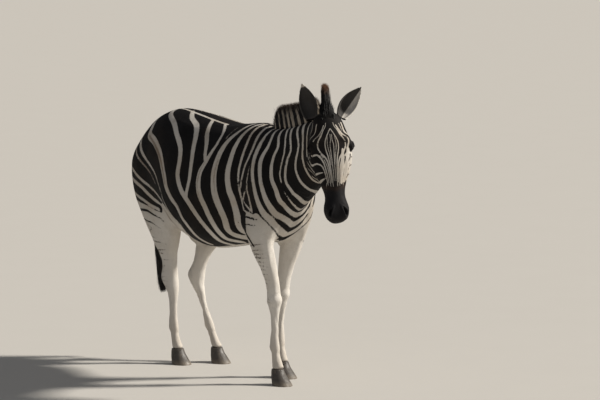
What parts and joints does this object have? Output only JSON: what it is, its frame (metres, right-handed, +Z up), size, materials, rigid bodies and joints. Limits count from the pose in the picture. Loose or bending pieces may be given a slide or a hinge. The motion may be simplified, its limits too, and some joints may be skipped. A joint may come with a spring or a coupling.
{
  "type": "plains zebra, standing life-size model",
  "caption": "Life-size standing plains zebra, head turned to its right, with striped coat, upright mane, tufted tail and four hooves.",
  "frame": {"origin": "on the ground, at the centre of the bounding box", "axes": "+Z up; the body faces -Y, so the animal's right side is at -X"},
  "size_m": [0.5526, 1.8046, 1.5479],
  "materials": {
    "coat": "short flat hair, black-brown and buff-white stripes",
    "ear": "short hair, dark grey inside, pale rim",
    "mane_hair": "stiff upright hair, striped, brown-black tips",
    "tail_hair": "long loose hair, brown-black",
    "eye": "wet, dark brown",
    "hoof_horn": "dull dark horn, fine growth rings"
  },
  "bodies": {
    "root": {"trunk": "coat", "hindquarters": "coat", "neck": "coat", "head": "coat", "foreleg_right": "coat", "foreleg_left": "coat", "hindleg_right": "coat", "hindleg_left": "coat", "tail": "coat", "ear_right": "ear", "ear_left": "ear", "mane": "mane_hair", "forelock": "mane_hair", "tail_tuft": "tail_hair", "eye_right": "eye", "eye_left": "eye", "hoof_fore_right": "hoof_horn", "hoof_fore_left": "hoof_horn", "hoof_hind_right": "hoof_horn", "hoof_hind_left": "hoof_horn"}
  },
  "joints": []
}
